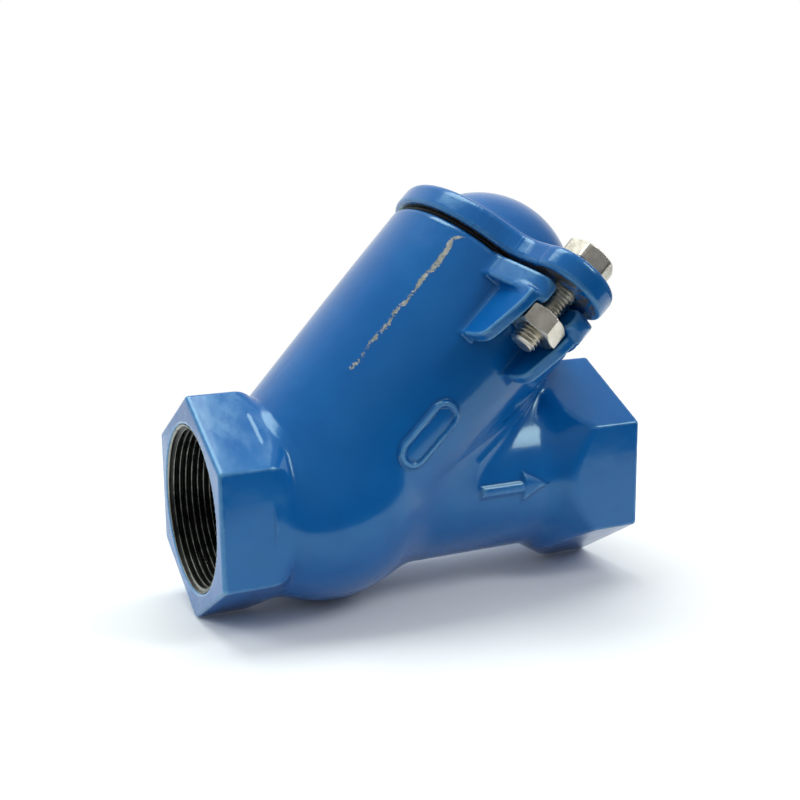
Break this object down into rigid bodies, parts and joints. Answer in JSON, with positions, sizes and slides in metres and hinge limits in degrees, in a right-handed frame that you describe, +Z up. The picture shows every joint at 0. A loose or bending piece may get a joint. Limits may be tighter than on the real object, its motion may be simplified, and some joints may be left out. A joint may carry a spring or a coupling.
{
  "type": "ball check valve",
  "caption": "Y-pattern ball check valve with female-threaded hexagon ends, a domed cover on two lugs, and a rubber-skinned ball on a seat.",
  "frame": {"origin": "centre of the inlet mouth, on the axis of the inlet thread", "axes": "+X along the pipe run from the inlet to the outlet, +Z up on the branch's side, the cover screws on both sides along Y"},
  "size_m": [0.1695, 0.14, 0.1538],
  "materials": {
    "blue_epoxy": "glossy blue epoxy over cast iron",
    "seal_rubber": "matt black rubber",
    "ball_alloy": "turned",
    "ball_rubber": "smooth black rubber",
    "stainless": "plain stainless steel"
  },
  "bodies": {
    "valve": {"valve_body": "blue_epoxy", "cover_gasket": "seal_rubber"},
    "ball": {"ball_core": "ball_alloy", "ball_coating": "ball_rubber"},
    "cover": {"cover": "blue_epoxy"},
    "near_washer": {"near_washer": "stainless"},
    "near_bolt": {"near_bolt": "stainless"},
    "near_nut": {"near_nut": "stainless"},
    "far_washer": {"far_washer": "stainless"},
    "far_bolt": {"far_bolt": "stainless"},
    "far_nut": {"far_nut": "stainless"}
  },
  "joints": [
    {"name": "ball_lift", "type": "slide", "parent": "valve", "child": "ball", "axis": [0.7071, 0, 0.7071], "range_m": [0, 0.0925]},
    {"name": "cover_lift", "type": "slide", "parent": "valve", "child": "cover", "axis": [0.7071, 0, 0.7071], "range_m": [0, 0.06]},
    {"name": "near_bolt_draw", "type": "slide", "parent": "cover", "child": "near_washer", "axis": [0.7071, 0, 0.7071], "range_m": [0, 0.04]},
    {"name": "near_bolt_turn", "type": "hinge", "parent": "near_washer", "child": "near_bolt", "pos_m": [0.12773, -0.0545, 0.08273], "axis": [0.7071, 0, 0.7071], "range_deg": [0, 3420]},
    {"name": "near_nut_run", "type": "slide", "parent": "valve", "child": "near_nut", "axis": [-0.7071, 0, -0.7071], "range_m": [0, 0.01425]},
    {"name": "far_bolt_draw", "type": "slide", "parent": "cover", "child": "far_washer", "axis": [0.7071, 0, 0.7071], "range_m": [0, 0.04]},
    {"name": "far_bolt_turn", "type": "hinge", "parent": "far_washer", "child": "far_bolt", "pos_m": [0.12773, 0.0545, 0.08273], "axis": [0.7071, 0, 0.7071], "range_deg": [0, 3420]},
    {"name": "far_nut_run", "type": "slide", "parent": "valve", "child": "far_nut", "axis": [-0.7071, 0, -0.7071], "range_m": [0, 0.01425]}
  ],
  "couplings": [
    {"joint": "near_bolt_turn", "follows": "near_nut_run", "rad_per_m": 4188.8},
    {"joint": "far_bolt_turn", "follows": "far_nut_run", "rad_per_m": 4188.8}
  ]
}
